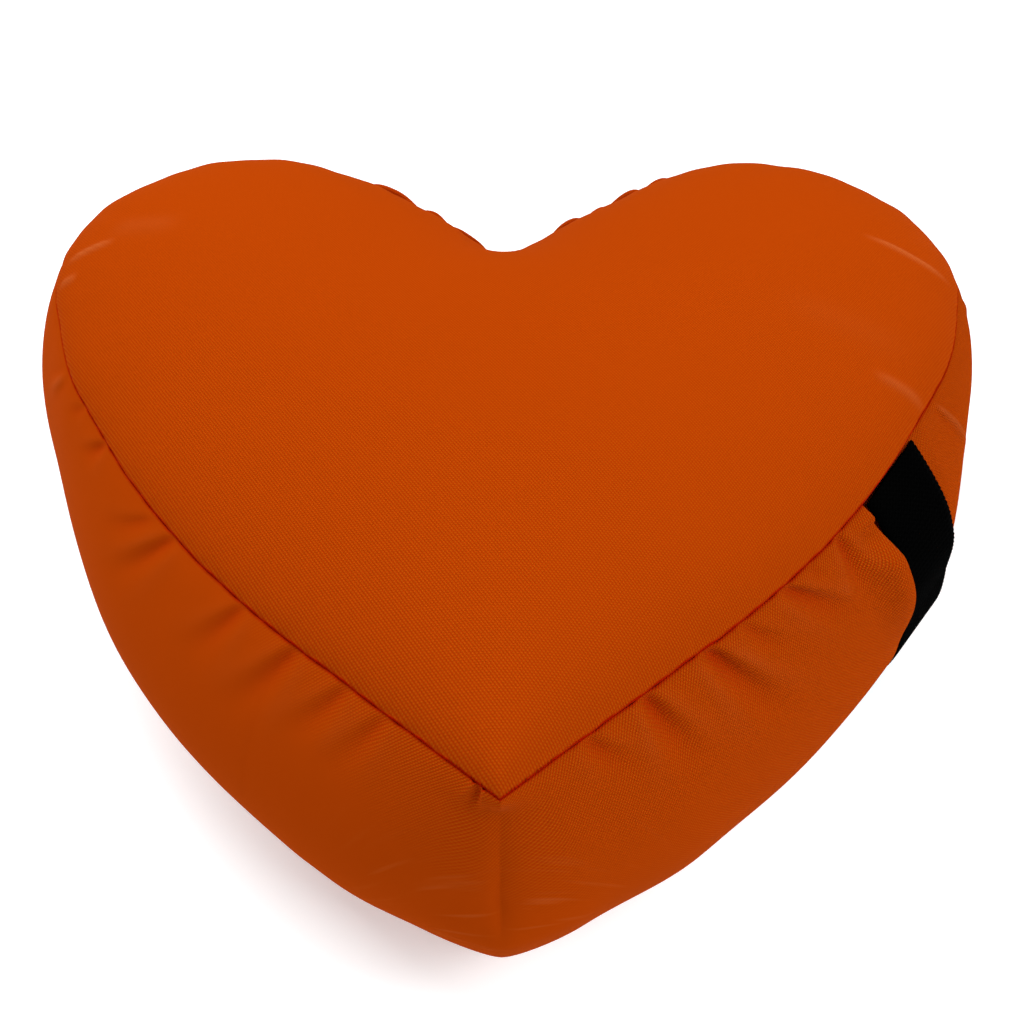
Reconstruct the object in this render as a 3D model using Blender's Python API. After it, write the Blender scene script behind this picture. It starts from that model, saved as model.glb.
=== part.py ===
"""Heart-shaped zafu cushion: two heart panels, a filled side band and a webbing carry handle.

Metres, +Z up. The cushion lies on its bottom panel with the tip of the heart towards -Y.
The origin is on the floor, under the middle of the cushion's depth.
"""
import math
from collections import namedtuple

import bmesh
import bpy
import numpy as np

# ---- driving sizes, in metres and degrees ----
TIP_Y = -0.155             # the seam's tip, in front of the origin
NOTCH_DEPTH = 0.2335       # from the tip to the notch between the lobes
NOTCH_SOFTNESS = 0.010     # length of each back line that the rounded notch takes up
SEAM_HEIGHT = 0.116        # top seam above the floor
BULGE_HEIGHT = 0.050       # widest level of the side band
BASE_SEAM_HEIGHT = 0.010   # bottom seam above the floor
CROWN_HEIGHT = 0.031       # top of the crown above the top seam
CROWN_FULLNESS = 0.6       # under 1 lifts the panel quickly beside its seam
CLOTH = 0.0022             # upright thickness of a panel with its turned edge
SEAT_GAP = 0.0006          # upright play between a panel and the filled body
EDGE_GAP = 0.0004          # play between a panel's rim and the band's turned edge

# How far the widest level of the band stands out from the seam; the flanks have their own below.
LOBE_BULGE = 0.0235
TIP_BULGE = 0.0270
TIP_STRETCH = 0.005        # the tip's bulge holds this far along the seam
TIP_FADE = 0.055           # and has become the flank's after this much more
NOTCH_BULGE = 0.002        # in the notch the two walls leave each other no more room
NOTCH_SPREAD = 0.6         # and this much more for each unit of length away from it
BAND_FULLNESS = 0.8        # under 1 carries the band outwards quickly beside its seam
REACH_SOFTNESS = 0.013     # length over which the band's widest level is smoothed
TUCK_LIMIT = 0.5           # a tuck takes at most this share of the local bulge
SMALLER_OF_TWO = 4         # power of a blend that follows the smaller of two lengths
MIDDLE_SHARE = 0.70        # the panels' middle, as a share of the way from tip to notch
TOP_SEARCH = (0.3, 0.9)    # the crown's top is looked for between these shares of it

STRAP_WIDTH = 0.038
STRAP_THICKNESS = 0.002
STRAP_PLACE = 0.180        # middle of the handle, along the right flank from the tip
STRAP_SEAT = 0.0007        # play between the handle and the band that it lies on
STRAP_PRESS = 0.0025       # how far the handle presses the band in at its widest level
STRAP_SHOULDER = 0.012     # the band is itself again this far beside the handle
STRAP_HANG = 0.0428        # length that hangs free below the band's widest level
STRAP_LEAN = 8.0           # how far that length leans in under the band, in degrees
STRAP_BEND = 0.006         # inside radius of the bend beside the floor
STRAP_RISE = 16.5          # slope of the stretch that runs back up to the bottom seam
STRAP_RETURN = 0.0171      # its length

# ---- how finely the shapes are divided ----
FRONT_LENGTH = 0.20        # stretch of each flank that has the tucks and is divided finely
FRONT_POINTS = 44
BACK_POINTS = 36           # steps from there round the lobe to the notch
SIDE_POINTS = FRONT_POINTS + BACK_POINTS
OUTLINE_STEP = 0.001
NOTCH_STEPS = 10           # steps on each side of the rounded notch
PANEL_RINGS = (0.985, 0.95, 0.88, 0.72, 0.45)
CONTACT_RING = 0.86        # the bottom panel lies flat inside this share of its size
BASE_RINGS = (0.93, CONTACT_RING)
BAND_LEVELS = (0.06, 0.15, 0.27, 0.42, 0.62, 0.82, 1.0, 1.3, 1.6, 1.85)
STRAP_LEVELS = (0.03, 1.0)  # the stretch of the band that the handle lies on
STRAP_STEPS = 34
SHARP_ANGLE = 50           # faces that meet at more than this are shaded apart, in degrees

# ---- colours ----
CANVAS_COLOUR = (0.57, 0.07, 0.002)
CANVAS_ROUGHNESS = 0.85
WEBBING_COLOUR = (0.004, 0.004, 0.004)
WEBBING_ROUGHNESS = 0.7

# ---- the heart's two flanks, each walked from the tip round its lobe to the notch ----
# The band stands out by bulge on the flank, and by LOBE_BULGE from fade_end (a place along Y) on.
Flank = namedtuple("Flank", "side heading straight bow_radius bow_turn lobe_radius back_turn"
                            " bulge fade_end fade")
FLANKS = (
    Flank(side=1, heading=37.2, straight=0.083, bow_radius=0.366, bow_turn=30.2,
          lobe_radius=0.0749, back_turn=8.0, bulge=0.0332, fade_end=0.047, fade=0.082),
    Flank(side=-1, heading=37.8, straight=0.078, bow_radius=0.373, bow_turn=30.7,
          lobe_radius=0.0754, back_turn=19.0, bulge=0.0343, fade_end=0.029, fade=0.111),
)

# ---- tucks that the top seam pulls into the band, placed along the seam from the tip ----
Tuck = namedtuple("Tuck", "side along lean length width depth")
TUCKS = (
    Tuck(side=-1, along=0.043, lean=0.35, length=0.034, width=0.0065, depth=0.0030),
    Tuck(side=-1, along=0.058, lean=0.45, length=0.036, width=0.0060, depth=0.0030),
    Tuck(side=-1, along=0.078, lean=0.50, length=0.040, width=0.0070, depth=0.0038),
    Tuck(side=-1, along=0.102, lean=0.50, length=0.036, width=0.0065, depth=0.0032),
    Tuck(side=-1, along=0.139, lean=0.60, length=0.040, width=0.0070, depth=0.0035),
    Tuck(side=1, along=0.031, lean=0.55, length=0.036, width=0.0065, depth=0.0030),
    Tuck(side=1, along=0.052, lean=0.45, length=0.030, width=0.0060, depth=0.0028),
    Tuck(side=1, along=0.077, lean=0.60, length=0.044, width=0.0070, depth=0.0038),
    Tuck(side=1, along=0.112, lean=0.80, length=0.036, width=0.0065, depth=0.0035),
    Tuck(side=1, along=0.142, lean=0.40, length=0.036, width=0.0065, depth=0.0035),
)


# ---- outline of the heart ----
def walk(start, heading, length, turn):
    """Points of a straight (turn 0) or an arc, and the heading at its end, all in the plan."""
    steps = max(2, round(length / OUTLINE_STEP))
    headings = heading + turn * (np.arange(steps) + 0.5) / steps
    moves = np.stack([np.cos(headings), np.sin(headings)], axis=1) * (length / steps)
    return start + np.cumsum(moves, axis=0), heading + turn


def flank_outline(flank):
    """One half of the heart: straight and bow up the flank, round the lobe, and back to the notch."""
    tip = np.zeros(2)
    notch = np.array([0.0, NOTCH_DEPTH])
    heading = math.radians(flank.heading)
    straight, heading = walk(tip, heading, flank.straight, 0.0)
    turn = math.radians(flank.bow_turn)
    bow, heading = walk(straight[-1], heading, flank.bow_radius * turn, turn)
    inward = np.array([-math.sin(heading), math.cos(heading)])
    centre = bow[-1] + flank.lobe_radius * inward
    half_back = math.radians(flank.back_turn) / 2
    to_notch = notch - centre
    reach = flank.lobe_radius * math.cos(half_back) / np.linalg.norm(to_notch)
    leave = math.atan2(to_notch[1], to_notch[0]) - math.acos(reach) - half_back
    turn = (leave + math.pi / 2 - heading) % (2 * math.pi)
    lobe, heading = walk(bow[-1], heading, flank.lobe_radius * turn, turn)
    chord = np.linalg.norm(notch - lobe[-1])
    back_length = chord * half_back / math.sin(half_back)
    back, heading = walk(lobe[-1], heading, back_length, 2 * half_back)
    back = back[np.linalg.norm(back - notch, axis=1) > NOTCH_SOFTNESS]
    points = np.concatenate([tip[None], straight, bow, lobe, back])
    points[:, 0] *= flank.side
    return points


def length_along(line):
    """Distance of each point of a line from its start."""
    steps = np.linalg.norm(np.diff(line, axis=0), axis=1)
    return np.concatenate([[0.0], np.cumsum(steps)])


def points_at(line, places):
    """The points of a line at these distances from its start."""
    along = length_along(line)
    return np.stack([np.interp(places, along, line[:, axis]) for axis in (0, 1)], axis=1)


def half_ring(half):
    """Half of the seam, divided finely along its flank and more widely round its lobe."""
    front = np.linspace(0.0, FRONT_LENGTH, FRONT_POINTS, endpoint=False)
    back = np.linspace(FRONT_LENGTH, length_along(half)[-1], BACK_POINTS + 1)
    return points_at(half, np.concatenate([front, back]))


def soft_notch(start, end):
    """The rounded bottom of the notch, a quadratic curve between the two back straights."""
    share = np.linspace(0.0, 1.0, 2 * NOTCH_STEPS + 1)[:, None]
    notch = np.array([0.0, NOTCH_DEPTH])
    return start * (1 - share) ** 2 + 2 * notch * share * (1 - share) + end * share ** 2


def heart_halves():
    """Both halves of the seam line, from the tip to the middle of the notch."""
    right, left = (flank_outline(flank) for flank in FLANKS)
    curve = soft_notch(right[-1], left[-1])
    right = np.concatenate([right, curve[1:NOTCH_STEPS + 1]])
    left = np.concatenate([left, curve[::-1][1:NOTCH_STEPS + 1]])
    move = np.array([0.0, TIP_Y])
    return right + move, left + move


RIGHT_HALF, LEFT_HALF = heart_halves()
RIGHT_RING = half_ring(RIGHT_HALF)
LEFT_RING = half_ring(LEFT_HALF)
SEAM = np.concatenate([RIGHT_RING, LEFT_RING[::-1][1:-1]])
RING_SIZE = len(SEAM)
FINE_SEAM = np.concatenate([RIGHT_HALF, LEFT_HALF[::-1][1:-1]])
HEART_MIDDLE = np.array([0.0, TIP_Y + MIDDLE_SHARE * NOTCH_DEPTH])
RIGHT_ALONG = length_along(RIGHT_RING)
LEFT_ALONG = length_along(LEFT_RING)
ALONG = np.concatenate([RIGHT_ALONG, LEFT_ALONG[::-1][1:-1]])
FROM_NOTCH = np.concatenate([RIGHT_ALONG[-1] - RIGHT_ALONG, (LEFT_ALONG[-1] - LEFT_ALONG)[::-1][1:-1]])
SIDE = np.where(np.arange(RING_SIZE) <= SIDE_POINTS, 1, -1)


def outward(ring):
    """Unit vectors pointing out of a closed ring that runs anticlockwise."""
    before = ring - np.roll(ring, 1, axis=0)
    after = np.roll(ring, -1, axis=0) - ring
    before /= np.linalg.norm(before, axis=1)[:, None]
    after /= np.linalg.norm(after, axis=1)[:, None]
    along = before + after
    along /= np.linalg.norm(along, axis=1)[:, None]
    return np.stack([along[:, 1], -along[:, 0]], axis=1), np.sum(along * after, axis=1)


OUT, CORNER = outward(SEAM)
TURNED_EDGE = SEAM + OUT * (EDGE_GAP / CORNER)[:, None]


# ---- how full the cushion is ----
def rise(points):
    """Share of the crown's height at points inside the seam: 0 at the seam, 1 at the top."""
    edges = np.roll(FINE_SEAM, -1, axis=0) - FINE_SEAM
    lengths = np.linalg.norm(edges, axis=1)
    middles = FINE_SEAM + edges / 2
    gaps = np.sum((points[:, None] - middles[None]) ** 2, axis=2)
    return 1.0 / np.sum(lengths / gaps, axis=1)


def inner_ring(share):
    """The seam line shrunk towards the middle of the heart."""
    return HEART_MIDDLE + (SEAM - HEART_MIDDLE) * share


def highest_rise():
    """The largest value of rise on the line from the tip to the notch."""
    line = TIP_Y + NOTCH_DEPTH * np.linspace(*TOP_SEARCH, SIDE_POINTS)
    return rise(np.stack([np.zeros_like(line), line], axis=1)).max()


TOP_RISE = highest_rise()


def crown(points):
    """Height of the top panel's face over the floor."""
    share = np.clip(rise(points) / TOP_RISE, 0.0, 1.0)
    return SEAM_HEIGHT + CROWN_HEIGHT * share ** CROWN_FULLNESS


def smooth_step(value):
    """0 below 0, 1 above 1, with an even slope in between."""
    value = np.clip(value, 0.0, 1.0)
    return value * value * (3 - 2 * value)


def soften(ring):
    """A closed ring averaged over REACH_SOFTNESS of its length, which rounds its corners."""
    place = ALONG * SIDE
    whole = RIGHT_ALONG[-1] + LEFT_ALONG[-1]
    apart = (place[:, None] - place[None] + whole / 2) % whole - whole / 2
    steps = np.linalg.norm(ring - np.roll(ring, 1, axis=0), axis=1)
    weights = np.exp(-(apart / REACH_SOFTNESS) ** 2) * (steps + np.roll(steps, -1))
    return weights @ ring / weights.sum(axis=1)[:, None]


def band_reach():
    """How far, and which way, the band's widest level stands out from each point of its edge."""
    bulge = np.full(RING_SIZE, LOBE_BULGE)
    for flank in FLANKS:
        on_flank = smooth_step((flank.fade_end - SEAM[:, 1]) / flank.fade)
        bulge += np.where(SIDE == flank.side, (flank.bulge - LOBE_BULGE) * on_flank, 0.0)
    past_tip = smooth_step((ALONG - TIP_STRETCH) / TIP_FADE)
    bulge = TIP_BULGE + (bulge - TIP_BULGE) * past_tip
    room = NOTCH_BULGE + NOTCH_SPREAD * FROM_NOTCH
    bulge = (bulge ** -SMALLER_OF_TWO + room ** -SMALLER_OF_TWO) ** (-1 / SMALLER_OF_TWO)
    return soften(TURNED_EDGE + OUT * bulge[:, None]) - TURNED_EDGE


REACH = band_reach()


def band_profile(level):
    """Share of the bulge, and height: level 0 is the top seam, 1 the widest, 2 the bottom seam."""
    quarter = level * math.pi / 2
    if level < 1:
        return math.sin(quarter) ** BAND_FULLNESS, SEAM_HEIGHT - (SEAM_HEIGHT - BULGE_HEIGHT) * level
    height = BULGE_HEIGHT + (BULGE_HEIGHT - BASE_SEAM_HEIGHT) * math.cos(quarter)
    return math.sin(quarter), height


def tuck_depth(share, below_seam):
    """Depth of the tucks round a level of the band, never more than part of its bulge."""
    depth = np.zeros(RING_SIZE)
    for tuck in TUCKS:
        place = tuck.along + tuck.lean * below_seam
        across = np.exp(-((ALONG - place) / tuck.width) ** 2)
        fade = 1 - smooth_step(below_seam / tuck.length)
        depth += np.where(SIDE == tuck.side, tuck.depth * across * fade, 0.0)
    return np.minimum(depth, TUCK_LIMIT * share * np.linalg.norm(REACH, axis=1))


def strap_dent(share):
    """How far the handle presses each point of a level of the band in."""
    beside = np.abs(ALONG - STRAP_PLACE) - STRAP_WIDTH / 2
    pressed = smooth_step(1 - beside / STRAP_SHOULDER)
    return np.where(SIDE == FLANKS[0].side, STRAP_PRESS * share * pressed, 0.0)


def band_ring(level):
    """One level of the band: its points in the plan and its height."""
    share, height = band_profile(level)
    depth = tuck_depth(share, SEAM_HEIGHT - height) + strap_dent(share)
    return TURNED_EDGE + REACH * share - OUT * depth[:, None], height


# ---- building closed shells ring by ring ----
def at_height(points, heights):
    """Plan points with their heights, as rows of x, y and z."""
    return np.column_stack([points, np.broadcast_to(heights, len(points))])


def new_shell():
    """An empty bmesh whose vertices remember their place in the ring."""
    shell = bmesh.new()
    shell.verts.layers.int.new("place")
    return shell


def new_ring(shell, spots):
    """A closed loop of edges through the spots."""
    place = shell.verts.layers.int["place"]
    verts = [shell.verts.new(spot) for spot in spots]
    for index, vert in enumerate(verts):
        vert[place] = index
    return [shell.edges.new((verts[index - 1], vert)) for index, vert in enumerate(verts)]


def grow(shell, edges, spots):
    """Extrude a loop of edges and put the new loop on the spots."""
    place = shell.verts.layers.int["place"]
    new = bmesh.ops.extrude_edge_only(shell, edges=edges)["geom"]
    for vert in (item for item in new if isinstance(item, bmesh.types.BMVert)):
        vert.co = spots[vert[place]]
    return [item for item in new if isinstance(item, bmesh.types.BMEdge)]


def close_at(shell, edges, spot):
    """Close a loop with a fan of triangles that meet at the spot."""
    new = bmesh.ops.extrude_edge_only(shell, edges=edges)["geom"]
    verts = [item for item in new if isinstance(item, bmesh.types.BMVert)]
    bmesh.ops.pointmerge(shell, verts=verts, merge_co=spot)


def close_flat(shell, edges):
    """Close a flat loop with one face."""
    bmesh.ops.contextual_create(shell, geom=edges)


def grow_cap(shell, edges, drop):
    """From the seam inwards, the crowned face, lowered by drop."""
    for share in PANEL_RINGS:
        points = inner_ring(share)
        edges = grow(shell, edges, at_height(points, crown(points) - drop))
    top = crown(HEART_MIDDLE[None]) - drop
    close_at(shell, edges, (*HEART_MIDDLE, *top))


def base_height(share):
    """Height of the bottom panel's lower face on a ring: flat, then up to its seam."""
    lift = (share - CONTACT_RING) / (1 - CONTACT_RING)
    return (BASE_SEAM_HEIGHT - CLOTH) * lift ** 2


def grow_base(shell, edges, lift):
    """From the bottom seam inwards, the face that rests on the floor, raised by lift."""
    for share in BASE_RINGS:
        edges = grow(shell, edges, at_height(inner_ring(share), base_height(share) + lift))
    close_flat(shell, edges)


def finish_shell(shell, name, material):
    """Turn the faces outwards and make the shell an object."""
    bmesh.ops.recalc_face_normals(shell, faces=shell.faces)
    mesh = bpy.data.meshes.new(name)
    shell.to_mesh(mesh)
    shell.free()
    mesh.materials.append(material)
    mesh.shade_smooth()
    mesh.set_sharp_from_angle(angle=math.radians(SHARP_ANGLE))
    piece = bpy.data.objects.new(name, mesh)
    bpy.context.scene.collection.objects.link(piece)


def cloth_material(name, colour, roughness):
    """A matt, woven surface."""
    material = bpy.data.materials.new(name)
    material.use_nodes = True
    shader = material.node_tree.nodes["Principled BSDF"]
    shader.inputs["Base Color"].default_value = (*colour, 1.0)
    shader.inputs["Roughness"].default_value = roughness
    shader.inputs["Metallic"].default_value = 0.0
    return material


# ---- the pieces ----
def make_top_panel():
    """The crowned heart of canvas on top of the filling."""
    shell = new_shell()
    lower = new_ring(shell, at_height(SEAM, SEAM_HEIGHT - CLOTH))
    upper = grow(shell, lower, at_height(SEAM, SEAM_HEIGHT))
    grow_cap(shell, upper, 0.0)
    grow_cap(shell, lower, CLOTH)
    finish_shell(shell, "top_panel", cloth_material("canvas_top", CANVAS_COLOUR, CANVAS_ROUGHNESS))


def make_bottom_panel():
    """The heart of canvas that the cushion lies on."""
    shell = new_shell()
    lower = new_ring(shell, at_height(SEAM, BASE_SEAM_HEIGHT - CLOTH))
    upper = grow(shell, lower, at_height(SEAM, BASE_SEAM_HEIGHT))
    grow_base(shell, lower, 0.0)
    grow_base(shell, upper, CLOTH)
    finish_shell(shell, "bottom_panel", cloth_material("canvas_base", CANVAS_COLOUR, CANVAS_ROUGHNESS))


def make_cushion_body():
    """The side band with the filling that it holds, between the two panels."""
    shell = new_shell()
    shelf = SEAM_HEIGHT - CLOTH - SEAT_GAP
    ledge = BASE_SEAM_HEIGHT + SEAT_GAP
    start = new_ring(shell, at_height(SEAM, shelf))
    loop = grow(shell, start, at_height(TURNED_EDGE, shelf))
    loop = grow(shell, loop, at_height(TURNED_EDGE, SEAM_HEIGHT))
    for level in BAND_LEVELS:
        points, height = band_ring(level)
        loop = grow(shell, loop, at_height(points, height))
    loop = grow(shell, loop, at_height(TURNED_EDGE, BASE_SEAM_HEIGHT - CLOTH))
    loop = grow(shell, loop, at_height(TURNED_EDGE, ledge))
    loop = grow(shell, loop, at_height(SEAM, ledge))
    grow_base(shell, loop, CLOTH + SEAT_GAP)
    grow_cap(shell, start, CLOTH + SEAT_GAP)
    finish_shell(shell, "cushion_body", cloth_material("canvas_band", CANVAS_COLOUR, CANVAS_ROUGHNESS))


def on_right_seam(values):
    """A ring's values where the middle of the handle crosses the right half of the seam."""
    half = values[:SIDE_POINTS + 1]
    return np.array([np.interp(STRAP_PLACE, RIGHT_ALONG, column) for column in half.T])


def left_of(line):
    """Unit vectors square to a line in its own plane, to its left."""
    along = np.gradient(line, axis=0)
    along /= np.linalg.norm(along, axis=1)[:, None]
    return np.stack([-along[:, 1], along[:, 0]], axis=1)


def strap_route():
    """Middle of the handle's inner face, top to bottom, as offsets from the seam and heights.

    It lies on the band down to the widest level, hangs free from there, bends beside the floor
    and runs back to the bottom seam.
    """
    reach = np.linalg.norm(on_right_seam(REACH)) - STRAP_PRESS
    levels = np.linspace(*STRAP_LEVELS, SIDE_POINTS)
    band = np.array([band_profile(level) for level in levels]) * (reach, 1.0) + (EDGE_GAP, 0.0)
    lying = band + left_of(band) * STRAP_SEAT
    heading = -math.pi / 2 - math.radians(STRAP_LEAN)
    hanging, heading = walk(lying[-1], heading, STRAP_HANG, 0.0)
    turn = math.pi / 2 + math.radians(STRAP_RISE - STRAP_LEAN)
    bend, heading = walk(hanging[-1], heading, STRAP_BEND * turn, -turn)
    back, heading = walk(bend[-1], heading, STRAP_RETURN, 0.0)
    route = np.concatenate([lying, hanging, bend, back])
    return points_at(route, np.linspace(0.0, length_along(route)[-1], STRAP_STEPS + 1))


def make_handle_strap():
    """The webbing handle, an upright bow of flat strap on the right flank."""
    route = strap_route()
    faces = {"inner": route, "outer": route + left_of(route) * STRAP_THICKNESS}
    place = on_right_seam(SEAM)
    out = on_right_seam(OUT)
    out /= np.linalg.norm(out)
    across = np.array([-out[1], out[0]]) * STRAP_WIDTH / 2
    corners = (("inner", -1), ("inner", 1), ("outer", 1), ("outer", -1))
    sections = []
    for step in range(STRAP_STEPS + 1):
        section = []
        for face, side in corners:
            offset, height = faces[face][step]
            section.append((*(place + out * offset + across * side), height))
        sections.append(section)
    shell = new_shell()
    loop = new_ring(shell, sections[0])
    close_flat(shell, loop)
    for section in sections[1:]:
        loop = grow(shell, loop, section)
    close_flat(shell, loop)
    finish_shell(shell, "handle_strap", cloth_material("webbing_black", WEBBING_COLOUR, WEBBING_ROUGHNESS))


def clear_scene():
    """Start from an empty scene."""
    for item in list(bpy.data.objects):
        bpy.data.objects.remove(item, do_unlink=True)


clear_scene()
make_cushion_body()
make_top_panel()
make_bottom_panel()
make_handle_strap()
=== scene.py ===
"""Heart-shaped zafu cushion of orange canvas with a black webbing carry handle.

The cushion lies on a white floor with the tip of its heart towards the camera.
"""
import math
from collections import namedtuple

import bmesh
import bpy
import numpy as np
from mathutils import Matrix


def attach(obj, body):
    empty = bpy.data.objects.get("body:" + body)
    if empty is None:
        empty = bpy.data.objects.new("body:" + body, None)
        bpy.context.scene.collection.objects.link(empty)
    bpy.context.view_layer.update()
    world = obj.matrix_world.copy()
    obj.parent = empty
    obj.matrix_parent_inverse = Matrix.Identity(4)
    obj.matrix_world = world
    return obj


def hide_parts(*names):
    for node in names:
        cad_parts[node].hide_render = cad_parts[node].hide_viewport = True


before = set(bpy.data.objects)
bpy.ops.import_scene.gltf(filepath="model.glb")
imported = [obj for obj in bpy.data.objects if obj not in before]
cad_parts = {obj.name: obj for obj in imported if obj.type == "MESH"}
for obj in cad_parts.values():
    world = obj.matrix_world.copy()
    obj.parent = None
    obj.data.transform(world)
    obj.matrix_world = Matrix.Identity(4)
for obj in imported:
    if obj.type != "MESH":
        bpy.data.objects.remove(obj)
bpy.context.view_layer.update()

# ---- the cushion's sizes, in metres and degrees ----
TIP_Y = -0.155            # the seam's tip, in front of the origin
NOTCH_DEPTH = 0.2335      # from the tip to the notch between the lobes
NOTCH_SOFTNESS = 0.006    # length of each back line that the rounded notch takes up
SEAM_HEIGHT = 0.116       # top seam above the floor
BULGE_HEIGHT = 0.050      # widest level of the side band
BASE_SEAM_HEIGHT = 0.010  # bottom seam above the floor
CROWN_HEIGHT = 0.031      # top of the crown above the top seam
CROWN_FULLNESS = 0.6      # under 1 lifts the panel quickly beside its seam
CLOTH = 0.0020            # upright thickness of a panel with its turned edge
SEAT_GAP = 0.0008         # upright play between a panel and the filled band
EDGE_GAP = 0.00005        # the seam's open line between a panel's rim and the band
MIDDLE_SHARE = 0.70       # the panels' middle, as a share of the way from tip to notch
TOP_SEARCH = (0.3, 0.9)   # the crown's top is looked for between these shares of it
CONTACT_RING = 0.86       # the bottom panel lies flat inside this share of its size

LOBE_BULGE = 0.0235     # how far the band stands out round the lobes
TIP_BULGE = 0.0252      # and at the tip
TIP_STRETCH = 0.005     # the tip's bulge holds this far along the seam
TIP_FADE = 0.055        # and has become the flank's after this much more
NOTCH_BULGE = 0.002     # in the notch the two walls leave each other no more room
NOTCH_SPREAD = 0.6      # and this much more for each unit of length away from it
BAND_FULLNESS = 0.8     # under 1 carries the band outwards quickly beside its seam
REACH_SOFTNESS = 0.006  # length over which the band's widest level is smoothed
WALL_SOFTNESS = 0.018   # and over which the wall below the tip is
WALL_DEPTH = 0.05       # this wall ends so far behind the tip
SMALLER_OF_TWO = 4      # power of a blend that follows the smaller of two lengths

Flank = namedtuple("Flank", "side heading straight bow_radius bow_turn lobe_radius back_turn"
                            " bulge fade_end fade")
FLANKS = (
    Flank(side=1, heading=37.2, straight=0.083, bow_radius=0.366, bow_turn=30.2,
          lobe_radius=0.0749, back_turn=8.0, bulge=0.0332, fade_end=0.047, fade=0.082),
    Flank(side=-1, heading=37.8, straight=0.078, bow_radius=0.373, bow_turn=30.7,
          lobe_radius=0.0754, back_turn=19.0, bulge=0.0343, fade_end=0.029, fade=0.111),
)

# ---- the handle's sizes ----
STRAP_WIDTH = 0.038
STRAP_THICKNESS = 0.0019
STRAP_PLACE = 0.180    # middle of the handle, along the right flank from the tip
STRAP_SEAT = 0.0006    # play between the handle and the band that it lies on
STRAP_PRESS = 0.0025   # how far the handle presses the band in
STRAP_TWIST = 0.0013   # and how much farther out its edge away from the tip lies
TWIST_LENGTH = 0.03    # the twist grows over this length
STRAP_LIFT = 0.0025    # it stands this much farther off the band below its first length
LIFT_LENGTH = 0.034    # reached after this much of its length
LIFT_EASE_END = 0.062  # it eases back to the band over the last LIFT_EASE before here,
LIFT_EASE = 0.022
SECOND_LIFT = 0.058    # and lifts off again from here, over this length
SECOND_LIFT_LENGTH = 0.03
STRAP_START = 0.0003   # the handle comes out of the seam this far from the top panel
STRAP_HANG = 0.0428    # length that hangs free below the band's widest level
STRAP_LEAN = 8.0       # how far that length leans in under the band, in degrees
STRAP_BEND = 0.006     # inside radius of the bend beside the floor
STRAP_RISE = 16.5      # slope of the stretch that runs back up to the bottom seam
STRAP_RETURN = 0.0171  # its length
RIB_PITCH = 0.0021     # ribs across the webbing
RIB_DEPTH = 0.00022
TOOTH_DEPTH = 0.0004   # each rib ends in a small tooth at the webbing's edges
EDGE_ROUNDING = 0.28   # share of the thickness that each face loses to the round edge,
EDGE_START = 0.95      # from this share of the half width on

NEAR_SHOULDER = 0.0018  # the band is itself again this far beside the handle, towards the tip
FAR_SHOULDER = 0.010    # and away from it
PUFF_START = 0.0012     # the band's soft puff rises over this much beside the handle,
PUFF_BREADTH = 0.0040   # is full over this much
PUFF_FADE = 0.0080      # and dies away over this much more
PUFF_HEIGHT = 0.0079
PUFF_TOP = 0.005        # it starts this far below the seam,
PUFF_SWELL = 0.008      # is full this much lower
PUFF_END = 0.056        # and ends here
PUFF_EBB = 0.036        # having died away over this length
NOOK_PUFF = 0.0022      # a smaller puff lies above it, right below the seam

# ---- tucks and folds of the band ----
# Each starts at along on the seam and start below it, leans on by lean for each unit down, and is
# length long. A negative depth is a ridge.
Fold = namedtuple("Fold", "side along lean length width depth start", defaults=(0.0,))
BAND_FOLDS = (
    Fold(side=-1, along=0.0068, lean=0.12, length=0.014, width=0.0010, depth=0.0024, start=-0.003),
    Fold(side=-1, along=0.041, lean=0.46, length=0.022, width=0.0036, depth=0.0014),
    Fold(side=-1, along=0.056, lean=0.59, length=0.022, width=0.0038, depth=0.0017),
    Fold(side=-1, along=0.077, lean=0.57, length=0.030, width=0.0044, depth=0.0020),
    Fold(side=-1, along=0.101, lean=0.59, length=0.024, width=0.0040, depth=0.0018),
    Fold(side=-1, along=0.139, lean=0.84, length=0.032, width=0.0044, depth=0.0019),
    Fold(side=-1, along=0.152, lean=1.25, length=0.018, width=0.0045, depth=0.0012, start=0.001),
    Fold(side=-1, along=0.193, lean=0.88, length=0.013, width=0.0036, depth=0.0018),
    Fold(side=-1, along=0.215, lean=1.07, length=0.009, width=0.0030, depth=0.0010),
    Fold(side=-1, along=0.237, lean=0.90, length=0.024, width=0.0036, depth=-0.0012, start=0.001),
    Fold(side=1, along=0.030, lean=0.60, length=0.016, width=0.0036, depth=0.0018),
    Fold(side=1, along=0.052, lean=0.32, length=0.028, width=0.0042, depth=0.0031),
    Fold(side=1, along=0.077, lean=0.64, length=0.036, width=0.0048, depth=0.0034),
    Fold(side=1, along=0.092, lean=0.90, length=0.015, width=0.0034, depth=0.0014),
    Fold(side=1, along=0.112, lean=1.14, length=0.026, width=0.0045, depth=0.0027),
    Fold(side=1, along=0.126, lean=0.20, length=0.006, width=0.0024, depth=0.0009),
    Fold(side=1, along=0.142, lean=0.02, length=0.024, width=0.0036, depth=0.0024),
    Fold(side=1, along=0.221, lean=0.69, length=0.045, width=0.0026, depth=-0.0016, start=0.001),
    Fold(side=1, along=0.286, lean=0.90, length=0.030, width=0.0030, depth=-0.0006, start=0.001),
)
FOLD_MOUTH = 0.55     # share of its width that a fold has at its start
FOLD_SPREAD = 1.1     # and how much of its width it gains down to its end
FOLD_LIP = 0.22       # height of the soft lips beside a fold, as a share of its depth
LIP_PLACE = 1.9       # and their distance from its line, in its widths
FOLD_SHALLOWS = 0.35  # a fold starts this shallow, as a value of smooth_step,
FOLD_OPENING = 0.006  # and deepens over this length
FOLD_EBB = 0.8        # and ebbs over this share of its length
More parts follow.
